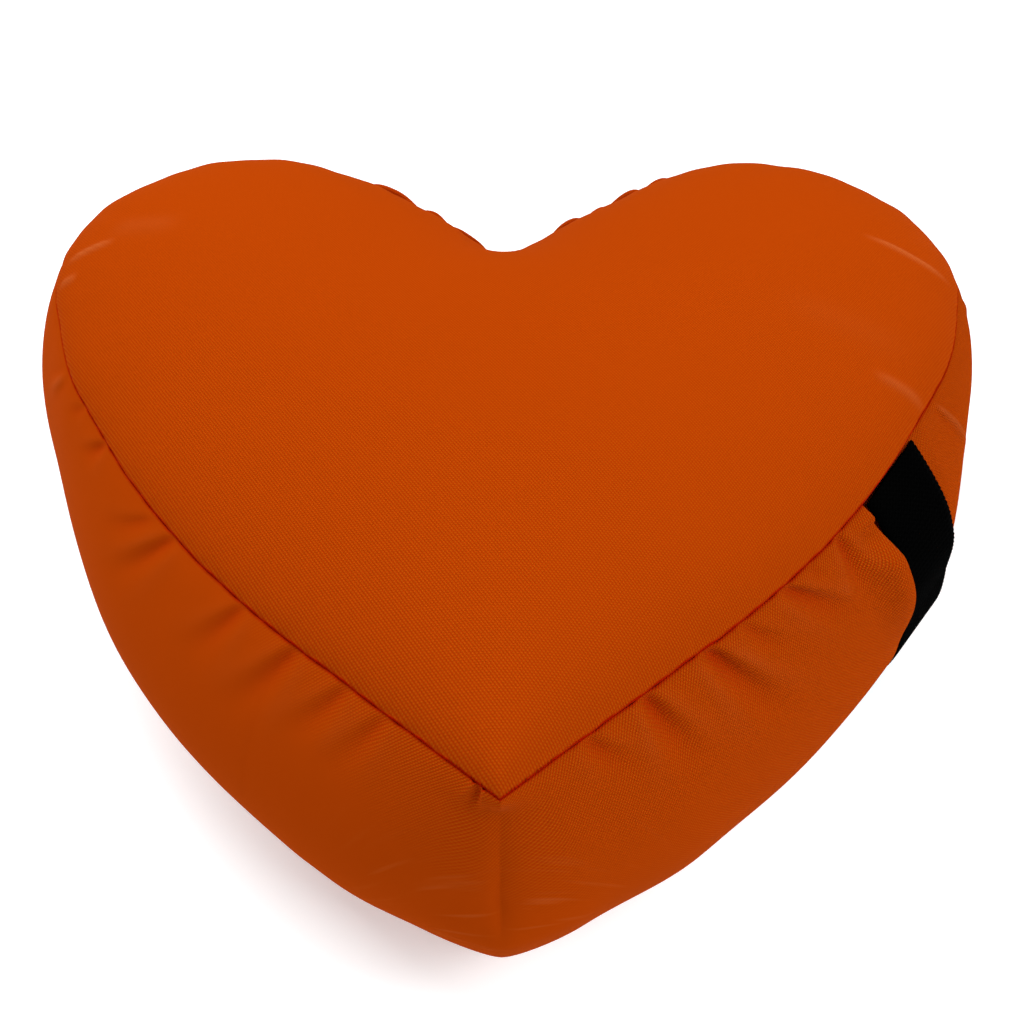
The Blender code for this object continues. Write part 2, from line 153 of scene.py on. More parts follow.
DEEPEST_FOLD = 0.75   # no fold is deeper than this share of how far the band stands out

# Ripples of the top panel beside its seam, where the band has its folds.
PUCKER_SHARE = 0.12    # their height, as a share of the fold's depth
PUCKER_WIDTH = 1.5     # their width, in widths of the fold
PUCKER_LEAN = 0.3      # they lean this much along the seam for each unit inwards
PUCKER_RISE = 0.002    # they rise over this much of the panel's edge
PUCKER_LENGTH = 0.016
EDGE_TO_MIDDLE = 0.15  # rough distance from the seam to the middle of the heart

# Soft ridges of the top panel, from start to end in the plan.
Ridge = namedtuple("Ridge", "start end width height")
PANEL_RIDGES = (
    Ridge(start=(-0.1800, 0.0690), end=(-0.1540, 0.0712), width=0.0016, height=0.0010),
    Ridge(start=(-0.1800, 0.0580), end=(-0.1690, 0.0560), width=0.0020, height=0.0008),
    Ridge(start=(0.1300, -0.0050), end=(0.1560, -0.0105), width=0.0022, height=0.0006),
    Ridge(start=(0.1430, 0.0700), end=(0.1820, 0.0535), width=0.0014, height=0.0009),
    Ridge(start=(-0.1640, 0.0800), end=(-0.1250, 0.0740), width=0.0060, height=0.0006),
    Ridge(start=(0.0950, 0.0250), end=(0.1560, 0.0050), width=0.0080, height=0.0003),
)
RIDGE_END = 0.35  # a ridge dies away over this share of its length at both ends
RIDGE_HIGHLIGHT = 0.6  # how light the painted highlight along the back of a steep ridge is

# Rounded swellings: height at the middle, place along the half it is on, and half its length.
Swell = namedtuple("Swell", "side place half_length height")
BACK_GATHERS = (  # of the band over the top seam at the back, placed from the notch
    Swell(side=-1, place=0.0700, half_length=0.0180, height=0.0056),
    Swell(side=-1, place=0.0450, half_length=0.0100, height=0.0039),
    Swell(side=-1, place=0.0205, half_length=0.0175, height=0.0044),
    Swell(side=1, place=0.0130, half_length=0.0100, height=0.0034),
    Swell(side=1, place=0.0380, half_length=0.0115, height=0.0050),
    Swell(side=1, place=0.0565, half_length=0.0080, height=0.0035),
    Swell(side=1, place=0.0735, half_length=0.0120, height=0.0054),
    Swell(side=1, place=0.0925, half_length=0.0100, height=0.0042),
)
SEAM_EASES = (    # of the top seam in its own plane, placed from the tip
    Swell(side=1, place=0.245, half_length=0.036, height=0.0018),
    Swell(side=1, place=0.355, half_length=0.070, height=-0.0026),
    Swell(side=-1, place=0.235, half_length=0.032, height=0.0014),
    Swell(side=-1, place=0.333, half_length=0.032, height=0.0013),
    Swell(side=-1, place=0.450, half_length=0.034, height=-0.0014),
)
BAND_SWELLS = (   # of the band's widest level, placed from the tip
    Swell(side=-1, place=0.030, half_length=0.026, height=0.0020),
)

# Slow unevenness of the filling and the seam.
Wave = namedtuple("Wave", "length phase height")
BAND_WAVES = (
    Wave(length=0.094, phase=0.7, height=0.0004),
    Wave(length=0.053, phase=2.1, height=0.0002),
)
SEAM_WAVES = (
    Wave(length=0.0430, phase=1.3, height=0.00016),
    Wave(length=0.0262, phase=0.4, height=0.00013),
    Wave(length=0.0171, phase=2.9, height=0.00009),
)
FLANK_WAVES = 0.4         # strength of the waves on the flanks
BAND_LOBE_WAVES = 0.6     # and how much more they have on the lobes, in the band
SEAM_LOBE_WAVES = 1.4     # and in the seam
LOBES_START = 0.27        # the lobes start here along the seam
LOBES_RAMP = 0.04
CALM_LENGTH = 0.03        # the waves grow over this length from the tip and from the notch
CALM_BESIDE_STRAP = 0.01  # and over this beside the handle
HEIGHT_SHIFT = 0.011      # the seam's waves in height lie this far along from those in plan
HEIGHT_WAVES = 0.8        # and are this strong

# Levels of the band, from 0 at the top seam and 1 at the widest to 2 at the bottom seam.
EASES_END = 0.6          # the seam's eases have died away here,
HEIGHT_WAVES_END = 0.35  # its waves in height here
ROLL_START = 0.03        # the gathers are full from here
ROLL_HOLD = 0.05         # to here
ROLL_FADE = 0.06         # and fade over this much more
ROUNDING_START = 0.15    # the wall below the tip is rounded from here
ROUNDING_FADE = 0.35     # and the rounding fades over the last of the way to level 1
PANEL_BLEND = 0.6        # the top panel follows the seam's waves outside this share of its size

# ---- how finely the shapes are divided ----
OUTLINE_STEP = 0.001
NOTCH_STEPS = 10
TIP_LENGTH = 0.018   # stretch beside the tip, divided most finely
TIP_POINTS = 32
FRONT_LENGTH = 0.29  # stretch of each flank that has the tucks
FRONT_POINTS = 245
BACK_POINTS = 130
SIDE_POINTS = TIP_POINTS + FRONT_POINTS + BACK_POINTS
SEAM_LEVELS = (0.0, 0.003, 0.008)
FIRST_LEVEL = 0.016  # the band's rows below these run from here
LAST_LEVEL = 1.93    # to here
LEVELS_EASED = 0.3   # share of an eased spacing in theirs
BAND_ROWS = 74
PROFILE_STEPS = 200
STRAP_ROWS = 380
STRAP_SECTION = 13   # points across each face of the handle
TOP_SHARES = np.concatenate([[1.0, 0.9985, 0.9965], np.linspace(0.992, 0.72, 38),
                             np.linspace(0.70, 0.04, 24)])
HIDDEN_SHARES = (0.3, 0.62, 0.85, 0.96, 0.995)
BASE_SHARES = (1.0, 0.985, 0.96, 0.93, 0.90, 0.88, CONTACT_RING, 0.7, 0.4)
MERGE_DISTANCE = 1e-6

# ---- colours, weave, and painted shade and highlights of the cloth ----
DEEP_ORANGE = (0.375, 0.0310, 0.0003, 1.0)
CLEAR_ORANGE = (0.405, 0.0350, 0.0005, 1.0)
THREAD_ORANGE = (0.450, 0.0700, 0.0018, 1.0)
# painted shade: the darker red that the seam's line, the folds and the gathers are painted with
PAINTED_SHADE_RED = (0.350, 0.0022, 0.0001, 1.0)
# painted highlights of the ridges and of the small wrinkles below the tip, and the real lint specks
LINT_AND_HIGHLIGHT_ORANGE = (0.62, 0.17, 0.045, 1.0)
SHEEN_ORANGE = (1.0, 0.6, 0.35, 1.0)
DEEP_BLACK = (0.0004, 0.0004, 0.0004, 1.0)
THREAD_BLACK = (0.0009, 0.0009, 0.0009, 1.0)
FLOOR_WHITE = (0.88, 0.93, 0.94, 1.0)
FLOOR_GLOW = 0.36  # the floor's own light, which keeps it white between the lights

THREAD_ACROSS = 0.00114      # repeats of the canvas's weave
THREAD_ALONG = 0.00146
LEANING_RIBS = (0.34, 0.16)  # strength of the ribs on each diagonal,
LEVEL_RIBS = 0.14            # and of the level ones
THREAD_TINT = (0.40, 1.05)   # middle share of the threads' colour, and its swing
WEAVE_DEPTH = 0.00018
SLUB_SCALE = 420.0           # unevenness of the threads,
SLUB_SHARES = (0.7, 0.6)     # strength of the flattest, and how much more the others have
CLOUD_SCALE = 9.0            # mottling of the dye
WEBBING_ACROSS = 0.0026      # repeats of the webbing's weave
WEBBING_ALONG = 0.0020
WEBBING_DEPTH = 0.0003

# How crisp the weave looks: its strength, times a share that changes by x, y and z.
Weave = namedtuple("Weave", "strength crispness by_x by_y by_z")
PANEL_WEAVE = Weave(strength=1.0, crispness=1.0, by_x=1.0, by_y=-5.5, by_z=0.0)
BAND_WEAVE = Weave(strength=4.5, crispness=-0.55, by_x=4.0, by_y=0.0, by_z=8.0)

LINT_SCALE = 34.0         # cells of the specks of lint, for each metre
LINT_SIZE = 0.010         # size of a speck, in cells
LINT_SHARE = 0.35
CLOTH_SHIFT = (1.0, 0.0)  # the panels' cloth lies this far from the band's, with other lint

STREAK_BEND = 16.0           # the painted highlights of small wrinkles under the tip are pale streaks bent like smiles
STREAKS_ACROSS = 34.0        # and there are so many of them for each metre across
STREAKS_UPRIGHT = 270.0      # and upright
STREAKS_FROM = 0.57          # value of the noise from which one shows
STREAK_EDGE = 7.0
STREAK_SHARE = 0.15
STREAKS_BACK = -0.135        # they lie in front of this y,
STREAKS_TOP = 0.095          # below this height
STREAKS_FADE = (50.0, 40.0)  # fading in on these slopes,
STREAKS_ASIDE = 330.0        # and closer to the middle than one over this number's root

SEAM_LINE = 0.00022       # width over which the painted shade along the seam fades
SEAM_SHADE = 0.9          # how dark it is
TUCK_SHADE = 180.0        # painted shade of the folds for each metre of depth,
TUCK_SHADE_DEPTH = 0.012  # fading over this height below the seam
GATHER_SHADE = 45.0       # and of the gathers for each metre of height,
GATHER_SHADE_END = 0.06   # down to this level
RIDGE_LIGHT = 50.0        # painted highlight on the band's ridges for each metre of height
CREST_LIGHT = 110.0       # and more of it for what is higher than this
CREST_START = 0.0006
SHADE_LIMITS = (-0.5, 0.9)

# ---- the photograph's view and light ----
LENS = 33.23         # in millimetres
SENSOR_WIDTH = 36.0
NEAREST = 0.01
CAMERA_PLACE = (0.0029, TIP_Y - 0.0986, SEAM_HEIGHT + 0.2467)
CAMERA_TILT = 38.74  # up from straight down, in degrees
CAMERA_TURN = -0.2
FLOOR_REACH = 3.0

SoftBox = namedtuple("SoftBox", "name place size power")
SOFT_BOXES = (
    SoftBox(name="back_left_soft_box", place=(-0.75, 0.75, 1.25), size=0.9, power=20.3),
    SoftBox(name="front_left_soft_box", place=(-0.95, -0.95, 1.0), size=0.9, power=6.1),
    SoftBox(name="left_soft_box", place=(-1.3, 0.1, 1.0), size=0.9, power=2.0),
    SoftBox(name="high_right_soft_box", place=(0.9, -0.3, 1.3), size=0.9, power=13.9),
    SoftBox(name="right_soft_box", place=(1.3, 0.1, 1.0), size=0.9, power=8.3),
    SoftBox(name="low_front_soft_box", place=(0.2, -1.6, 0.4), size=0.7, power=0.5),
)
LIT_POINT = (0.0, 0.0, 0.05)  # all of them face this point inside the cushion


# ---- camera, lights and floor ----
def add_camera():
    """The photograph's view of the cushion, from above its tip."""
    camera = bpy.data.cameras.new("camera")
    camera.lens = LENS
    camera.sensor_width = SENSOR_WIDTH
    camera.clip_start = NEAREST
    holder = bpy.data.objects.new("camera", camera)
    holder.location = CAMERA_PLACE
    holder.rotation_euler = (math.radians(CAMERA_TILT), 0.0, math.radians(CAMERA_TURN))
    bpy.context.scene.collection.objects.link(holder)
    bpy.context.scene.camera = holder


def add_soft_box(box):
    """A square area light that faces the lit point."""
    light = bpy.data.lights.new(box.name, "AREA")
    light.shape = "SQUARE"
    light.size = box.size
    light.energy = box.power
    holder = bpy.data.objects.new(box.name, light)
    way = np.array(LIT_POINT) - np.array(box.place)
    flat = math.hypot(way[0], way[1])
    holder.location = box.place
    holder.rotation_euler = (math.atan2(flat, -way[2]), 0.0, math.atan2(-way[0], way[1]))
    bpy.context.scene.collection.objects.link(holder)


def add_room():
    """The white floor under soft boxes, in dark surroundings."""
    world = bpy.data.worlds.new("surroundings")
    world.use_nodes = True
    world.node_tree.nodes["Background"].inputs["Strength"].default_value = 0.0
    bpy.context.scene.world = world
    bpy.context.scene.view_settings.view_transform = "Standard"
    for box in SOFT_BOXES:
        add_soft_box(box)
    board = bmesh.new()
    bmesh.ops.create_grid(board, x_segments=1, y_segments=1, size=FLOOR_REACH)
    floor = finish("floor", board, plain_white())


# ---- materials ----
class Value:
    """A number of a shader, on which sums can be written."""

    def __init__(self, maker, socket):
        self.maker = maker
        self.socket = socket

    def _sum(self, operation, first, second):
        made = self.maker.node("ShaderNodeMath", {"operation": operation}, {0: first, 1: second})
        return Value(self.maker, made.outputs[0])

    def __add__(self, other):
        return self._sum("ADD", self, other)

    __radd__ = __add__

    def __sub__(self, other):
        return self._sum("SUBTRACT", self, other)

    def __rsub__(self, other):
        return self._sum("SUBTRACT", other, self)

    def __mul__(self, other):
        return self._sum("MULTIPLY", self, other)

    __rmul__ = __mul__

    def __lt__(self, other):
        return self._sum("LESS_THAN", self, other)

    def cosine(self):
        return self._sum("COSINE", self, 0.0)

    def limited(self):
        """The value, held between 0 and 1."""
        made = self.maker.node("ShaderNodeClamp", None, {"Value": self})
        return Value(self.maker, made.outputs[0])


class Maker:
    """Builds the nodes of one material."""

    def __init__(self, name):
        self.material = bpy.data.materials.new(name)
        self.material.use_nodes = True
        self.tree = self.material.node_tree
        self.shader = self.tree.nodes["Principled BSDF"]

    def node(self, kind, settings=None, inputs=None):
        """A node of this kind, with its settings and then the values or links of its sockets."""
        made = self.tree.nodes.new(kind)
        for name, value in (settings or {}).items():
            setattr(made, name, value)
        for name, value in (inputs or {}).items():
            self.feed(made.inputs[name], value)
        return made

    def feed(self, socket, value):
        """Link a socket to what makes its value, or set it to a plain one."""
        if isinstance(value, Value):
            value = value.socket
        if isinstance(value, bpy.types.NodeSocket):
            self.tree.links.new(value, socket)
        else:
            socket.default_value = value

    def parts(self, vector):
        """The x, y and z of a vector."""
        apart = self.node("ShaderNodeSeparateXYZ", None, {"Vector": vector})
        return [Value(self, apart.outputs[axis]) for axis in "XYZ"]

    def cloth(self):
        """The place on the flat cloth, from the piece's own map."""
        return self.node("ShaderNodeUVMap", {"uv_map": "cloth"}).outputs["UV"]

    def angles(self, across, along):
        """Two angles that turn once with each repeat of a weave, across and along it."""
        x, y, _ = self.parts(self.cloth())
        return x * (2 * math.pi / across), y * (2 * math.pi / along)

    def mix(self, share, first, second):
        """A colour between two, by a share from 0 to 1."""
        made = self.node("ShaderNodeMix", {"data_type": "RGBA"})
        self.feed(made.inputs["Factor"], share)
        self.feed(made.inputs["A"], first)
        self.feed(made.inputs["B"], second)
        return made.outputs["Result"]

    def noise(self, vector, scale, detail):
        """Soft random values about 0.5."""
        made = self.node("ShaderNodeTexNoise", None,
                         {"Vector": vector, "Scale": scale, "Detail": detail})
        return Value(self, made.outputs["Fac"])

    def bump(self, height, strength, depth):
        """The face's direction, as bumps of this height and depth turn it."""
        made = self.node("ShaderNodeBump", None,
                         {"Strength": strength, "Distance": depth, "Height": height})
        return made.outputs["Normal"]

    def finished(self, inputs):
        """The material, once the shader's own sockets are fed."""
        for name, value in inputs.items():
            self.feed(self.shader.inputs[name], value)
        return self.material


def plain_white():
    """The studio's white floor."""
    return Maker("studio_white").finished({
        "Base Color": FLOOR_WHITE,
        "Roughness": 0.9,
        "Specular IOR Level": 0.0,
        "Emission Color": (1.0, 1.0, 1.0, 1.0),
        "Emission Strength": FLOOR_GLOW,
    })


def canvas_threads(maker, place, weave):
    """Height of the canvas's crossing threads, from about -0.6 to 0.6 where they look crisp."""
    across, along = maker.angles(THREAD_ACROSS, THREAD_ALONG)
    x, y, z = maker.parts(place)
    crisp = (weave.crispness + x * weave.by_x + y * weave.by_y + z * weave.by_z).limited()
    first, second = LEANING_RIBS
    ribs = (across + along).cosine() * first + (across - along).cosine() * second
    ribs = ribs + (along * 2.0).cosine() * LEVEL_RIBS
    flattest, more = SLUB_SHARES
    slub = flattest + more * maker.noise(place, SLUB_SCALE, 3.0)
    return ribs * slub * (crisp * weave.strength)


def tip_wrinkle_highlights(maker, place):
    """Where pale streaks are painted below the tip, as highlights of its small wrinkles."""
    x, y, z = maker.parts(place)
    aside = x * x
    smile = z + aside * STREAK_BEND
    stretched = maker.node("ShaderNodeCombineXYZ", None,
                           {"X": x * STREAKS_ACROSS, "Z": smile * STREAKS_UPRIGHT})
    forwards, downwards = STREAKS_FADE
    beside_tip = ((STREAKS_BACK - y) * forwards).limited() * ((STREAKS_TOP - z) * downwards).limited()
    beside_tip = beside_tip * (1.0 - aside * STREAKS_ASIDE).limited()
    marks = maker.noise(stretched.outputs["Vector"], 1.0, 1.0) - STREAKS_FROM
    return (marks * STREAK_EDGE).limited() * beside_tip


def lint_specks(maker):
    """1 on a speck of lint, and 0 beside it."""
    specks = maker.node("ShaderNodeTexVoronoi", {"feature": "F1"},
                        {"Vector": maker.cloth(), "Scale": LINT_SCALE})
    return Value(maker, specks.outputs["Distance"]) < LINT_SIZE


def canvas_material(name, weave):
    """Orange canvas: threads, mottling, painted red shade at seam, folds and gathers, painted
    highlights, lint.
    """
    maker = Maker(name)
    place = maker.node("ShaderNodeTexCoord").outputs["Object"]
    threads = canvas_threads(maker, place, weave)
    # the painted shade and painted highlights laid on the vertices
    folds = maker.node("ShaderNodeAttribute", {"attribute_name": "painted_shade_and_light"})
    painted_shade_and_light = Value(maker, folds.outputs["Fac"])
    middle, swing = THREAD_TINT
    orange = maker.mix(maker.noise(place, CLOUD_SCALE, 3.0), DEEP_ORANGE, CLEAR_ORANGE)
    woven = maker.mix(middle + threads * swing, orange, THREAD_ORANGE)
    # painted shade: the seam's line, the folds and the gathers are mixed towards a darker red
    with_painted_shade = maker.mix(painted_shade_and_light.limited(), woven, PAINTED_SHADE_RED)
    # painted highlights on the ridges and on the small wrinkles below the tip, and real lint specks
    light = (0.0 - painted_shade_and_light).limited() + tip_wrinkle_highlights(maker, place) * STREAK_SHARE
    light = light + lint_specks(maker) * LINT_SHARE
    return maker.finished({
        "Base Color": maker.mix(light, with_painted_shade, LINT_AND_HIGHLIGHT_ORANGE),
        "Normal": maker.bump(threads + 0.5, strength=0.6, depth=WEAVE_DEPTH),
        "Roughness": 0.82,
        "Specular IOR Level": 0.0,
        "Sheen Weight": 0.03,
        "Sheen Roughness": 0.3,
        "Sheen Tint": SHEEN_ORANGE,
    })


def webbing_material():
    """Black woven webbing with its small herringbone of threads."""
    maker = Maker("black_webbing")
    across, along = maker.angles(WEBBING_ACROSS, WEBBING_ALONG)
    threads = across.cosine() * along.cosine() * 0.5 + 0.5
    return maker.finished({
        "Base Color": maker.mix(threads, DEEP_BLACK, THREAD_BLACK),
        "Normal": maker.bump(threads, strength=0.5, depth=WEBBING_DEPTH),
        "Roughness": 0.7,
        "Specular IOR Level": 0.001,
    })


# ---- lines in a plane ----
def walk(start, heading, length, turn):
    """Points of a straight (turn 0) or an arc, and the heading at its end."""
    steps = max(2, round(length / OUTLINE_STEP))
    headings = heading + turn * (np.arange(steps) + 0.5) / steps
    moves = np.stack([np.cos(headings), np.sin(headings)], axis=1) * (length / steps)
    return start + np.cumsum(moves, axis=0), heading + turn


def length_along(line):
    """Distance of each point of a line from its start."""
    steps = np.linalg.norm(np.diff(line, axis=0), axis=1)
    return np.concatenate([[0.0], np.cumsum(steps)])


def points_at(line, places):
    """The points of a line at these distances from its start."""
    along = length_along(line)
    return np.stack([np.interp(places, along, line[:, axis]) for axis in (0, 1)], axis=1)


def left_of(line):
    """Unit vectors square to a line in its own plane, to its left."""
    along = np.gradient(line, axis=0)
    along /= np.linalg.norm(along, axis=1)[:, None]
    return np.stack([-along[:, 1], along[:, 0]], axis=1)


def outward(ring):
    """Unit vectors out of a closed ring that runs anticlockwise, and the cosine of its corners."""
    before = ring - np.roll(ring, 1, axis=0)
    after = np.roll(ring, -1, axis=0) - ring
    before /= np.linalg.norm(before, axis=1)[:, None]
    after /= np.linalg.norm(after, axis=1)[:, None]
    along = before + after
    along /= np.linalg.norm(along, axis=1)[:, None]
    return np.stack([along[:, 1], -along[:, 0]], axis=1), np.sum(along * after, axis=1)


def smooth_step(value):
    """0 below 0, 1 above 1, with an even slope in between."""
    value = np.clip(value, 0.0, 1.0)
    return value * value * (3 - 2 * value)


# ---- outline of the heart ----
def flank_outline(flank):
    """One half of the heart: straight and bow up the flank, round the lobe, and back to the notch."""
    tip = np.zeros(2)
    notch = np.array([0.0, NOTCH_DEPTH])
    heading = math.radians(flank.heading)
    straight, heading = walk(tip, heading, flank.straight, 0.0)
    turn = math.radians(flank.bow_turn)
    bow, heading = walk(straight[-1], heading, flank.bow_radius * turn, turn)
    inward = np.array([-math.sin(heading), math.cos(heading)])
    centre = bow[-1] + flank.lobe_radius * inward
    half_back = math.radians(flank.back_turn) / 2
    to_notch = notch - centre
    reach = flank.lobe_radius * math.cos(half_back) / np.linalg.norm(to_notch)
    leave = math.atan2(to_notch[1], to_notch[0]) - math.acos(reach) - half_back
    turn = (leave + math.pi / 2 - heading) % (2 * math.pi)
    lobe, heading = walk(bow[-1], heading, flank.lobe_radius * turn, turn)
    chord = np.linalg.norm(notch - lobe[-1])
    back, heading = walk(lobe[-1], heading, chord * half_back / math.sin(half_back), 2 * half_back)
    back = back[np.linalg.norm(back - notch, axis=1) > NOTCH_SOFTNESS]
    points = np.concatenate([tip[None], straight, bow, lobe, back])
    points[:, 0] *= flank.side
    return points


def soft_notch(start, end):
    """The rounded bottom of the notch, a quadratic curve between the two back lines."""
    share = np.linspace(0.0, 1.0, 2 * NOTCH_STEPS + 1)[:, None]
    notch = np.array([0.0, NOTCH_DEPTH])
    return start * (1 - share) ** 2 + 2 * notch * share * (1 - share) + end * share ** 2


def heart_halves():
    """Both halves of the seam line, from the tip to the middle of the notch."""
    right, left = (flank_outline(flank) for flank in FLANKS)
    curve = soft_notch(right[-1], left[-1])
    right = np.concatenate([right, curve[1:NOTCH_STEPS + 1]])
    left = np.concatenate([left, curve[::-1][1:NOTCH_STEPS + 1]])
    move = np.array([0.0, TIP_Y])
    return right + move, left + move


def half_ring(half):
    """Half of the seam, divided most finely beside the tip and most widely round its lobe."""
    tip = np.linspace(0.0, TIP_LENGTH, TIP_POINTS, endpoint=False)
    front = np.linspace(TIP_LENGTH, FRONT_LENGTH, FRONT_POINTS, endpoint=False)
    back = np.linspace(FRONT_LENGTH, length_along(half)[-1], BACK_POINTS + 1)
    return points_at(half, np.concatenate([tip, front, back]))


def join_halves(right, left):
    """A ring from the tip up the right half and back down the left one."""
    return np.concatenate([right, left[::-1][1:-1]])


RIGHT_HALF, LEFT_HALF = heart_halves()
FINE_SEAM = join_halves(RIGHT_HALF, LEFT_HALF)
RIGHT_RING = half_ring(RIGHT_HALF)
LEFT_RING = half_ring(LEFT_HALF)
SEAM = join_halves(RIGHT_RING, LEFT_RING)
RING_SIZE = len(SEAM)
HEART_MIDDLE = np.array([0.0, TIP_Y + MIDDLE_SHARE * NOTCH_DEPTH])
RIGHT_ALONG = length_along(RIGHT_RING)
LEFT_ALONG = length_along(LEFT_RING)
SEAM_LENGTH = RIGHT_ALONG[-1] + LEFT_ALONG[-1]
ALONG = join_halves(RIGHT_ALONG, LEFT_ALONG)
FROM_NOTCH = join_halves(RIGHT_ALONG[-1] - RIGHT_ALONG, LEFT_ALONG[-1] - LEFT_ALONG)
SIDE = np.where(np.arange(RING_SIZE) <= SIDE_POINTS, 1, -1)
AROUND = ALONG * SIDE
OUT, CORNER = outward(SEAM)
FOOT = SEAM + OUT * (EDGE_GAP / CORNER)[:, None]


def waves(table, lobes, shift=0.0):
    """The waves' sum round the ring: more on the lobes, none at the tip, notch and handle."""
    total = np.zeros(RING_SIZE)
    for wave in table:
        total += wave.height * np.sin(2 * math.pi * (AROUND + shift) / wave.length + wave.phase)
    from_strap = np.abs(AROUND - STRAP_PLACE) - STRAP_WIDTH / 2
    calm = smooth_step(ALONG / CALM_LENGTH) * smooth_step(FROM_NOTCH / CALM_LENGTH)
    calm *= smooth_step(from_strap / CALM_BESIDE_STRAP)
    return total * calm * (FLANK_WAVES + lobes * smooth_step((ALONG - LOBES_START) / LOBES_RAMP))


def swells(table, places, softness):
    """The swellings' sum round the ring. A softness of 2 gives them soft ends."""
    total = np.zeros(RING_SIZE)
    for swell in table:
        part = np.clip((places - swell.place) / swell.half_length, -1, 1)
        total += np.where(SIDE == swell.side, swell.height * (1 - part ** 2) ** softness, 0.0)
    return total


SEWN_SHIFT = waves(SEAM_WAVES, SEAM_LOBE_WAVES) + swells(SEAM_EASES, ALONG, 2)
SEWN = SEAM + OUT * SEWN_SHIFT[:, None]
SEWN_RISE = HEIGHT_WAVES * waves(SEAM_WAVES, SEAM_LOBE_WAVES, HEIGHT_SHIFT)
SEWN_HEIGHT = SEAM_HEIGHT + SEWN_RISE
TURNED_EDGE = SEWN + OUT * (EDGE_GAP / CORNER)[:, None]


# ---- how full the panels are ----
def inner_ring(share, ring=SEAM):
    """The seam line shrunk towards the middle of the heart."""
    return HEART_MIDDLE + (ring - HEART_MIDDLE) * share


def rise(points):
    """Share of the crown's height at points inside the seam, 0 on the seam, not yet to scale."""
    edges = np.roll(FINE_SEAM, -1, axis=0) - FINE_SEAM
    lengths = np.linalg.norm(edges, axis=1)
    middles = FINE_SEAM + edges / 2
    gaps = np.sum((points[:, None] - middles[None]) ** 2, axis=2)
    with np.errstate(divide="ignore"):
        return 1.0 / np.sum(lengths / gaps, axis=1)


def highest_rise():
    """The largest value of rise on the line from the tip to the notch."""
    line = TIP_Y + NOTCH_DEPTH * np.linspace(*TOP_SEARCH, SIDE_POINTS)
    return rise(np.stack([np.zeros_like(line), line], axis=1)).max()


TOP_RISE = highest_rise()


def crown_heights(points):
    """Height of the top panel's face over its seam."""
    share = np.clip(rise(points) / TOP_RISE, 0.0, 1.0)
    return CROWN_HEIGHT * share ** CROWN_FULLNESS


def base_height(share):
    """Height of the bottom panel's lower face on a ring: flat, then up to its seam."""
    lift = max(0.0, (share - CONTACT_RING) / (1 - CONTACT_RING))
    return (BASE_SEAM_HEIGHT - CLOTH) * lift ** 2


def ridge_shapes(points):
    """Height of the soft ridges at points of the top panel, and the painted highlight along their
    backs.
    """
    total = np.zeros(len(points))
    painted_highlight = np.zeros(len(points))
    for ridge in PANEL_RIDGES:
        start, end = np.array(ridge.start), np.array(ridge.end)
        way = end - start
        length = np.linalg.norm(way)
        way /= length
        lengthwise = (points - start) @ way / length
        sideways = (points - start) @ np.array([-way[1], way[0]])
        ends = smooth_step(lengthwise / RIDGE_END) * smooth_step((1 - lengthwise) / RIDGE_END)
        shape = ends * np.exp(-(sideways / ridge.width) ** 2)
        total += ridge.height * shape
        painted_highlight = np.maximum(painted_highlight, shape * RIDGE_HIGHLIGHT * ridge.height / ridge.width)
    return total, painted_highlight


def pucker(share):
    """Small ripples of the top panel beside its seam, which answer the band's tucks."""
    inside = (1 - share) * EDGE_TO_MIDDLE
    total = np.zeros(RING_SIZE)
    for fold in BAND_FOLDS:
        across = (ALONG - fold.along + PUCKER_LEAN * inside) / (fold.width * PUCKER_WIDTH)
        ripple = PUCKER_SHARE * fold.depth * np.exp(-across ** 2)
        total -= np.where(SIDE == fold.side, ripple, 0.0)
    return total * smooth_step(inside / PUCKER_RISE) * smooth_step(1 - inside / PUCKER_LENGTH)


def panel_row(share):
    """One ring of the top panel's face."""
    blend = smooth_step((share - PANEL_BLEND) / (1 - PANEL_BLEND))
    ring = inner_ring(share, SEAM + (SEWN - SEAM) * blend)
    flat = inner_ring(share)
    heights = SEAM_HEIGHT + SEWN_RISE * blend + crown_heights(flat)
    heights += ridge_shapes(flat)[0] + pucker(share)
    return ring_at(ring, heights)


def lowered_panel(drop):
    """The rows below the top panel that its face hides, this far down from it."""
    return [panel_row(share) - (0.0, 0.0, drop) for share in HIDDEN_SHARES]


# ---- how full the band is ----
def soften(ring, softness):
    """A closed ring averaged over a short stretch of its length, which rounds its corners."""
    apart = (AROUND[:, None] - AROUND[None] + SEAM_LENGTH / 2) % SEAM_LENGTH - SEAM_LENGTH / 2
    steps = np.linalg.norm(ring - np.roll(ring, 1, axis=0), axis=1)
    weights = np.exp(-(apart / softness) ** 2) * (steps + np.roll(steps, -1))
    return weights @ ring / weights.sum(axis=1)[:, None]


def band_reach():
    """How far, and which way, the band's widest level stands out from each point of its edge."""
    bulge = np.full(RING_SIZE, LOBE_BULGE)
    for flank in FLANKS:
        on_flank = smooth_step((flank.fade_end - SEAM[:, 1]) / flank.fade)
        bulge += np.where(SIDE == flank.side, (flank.bulge - LOBE_BULGE) * on_flank, 0.0)
    past_tip = smooth_step((ALONG - TIP_STRETCH) / TIP_FADE)
    bulge = TIP_BULGE + (bulge - TIP_BULGE) * past_tip
    room = NOTCH_BULGE + NOTCH_SPREAD * FROM_NOTCH
    bulge = (bulge ** -SMALLER_OF_TWO + room ** -SMALLER_OF_TWO) ** (-1 / SMALLER_OF_TWO)
    return soften(FOOT + OUT * bulge[:, None], REACH_SOFTNESS) - FOOT


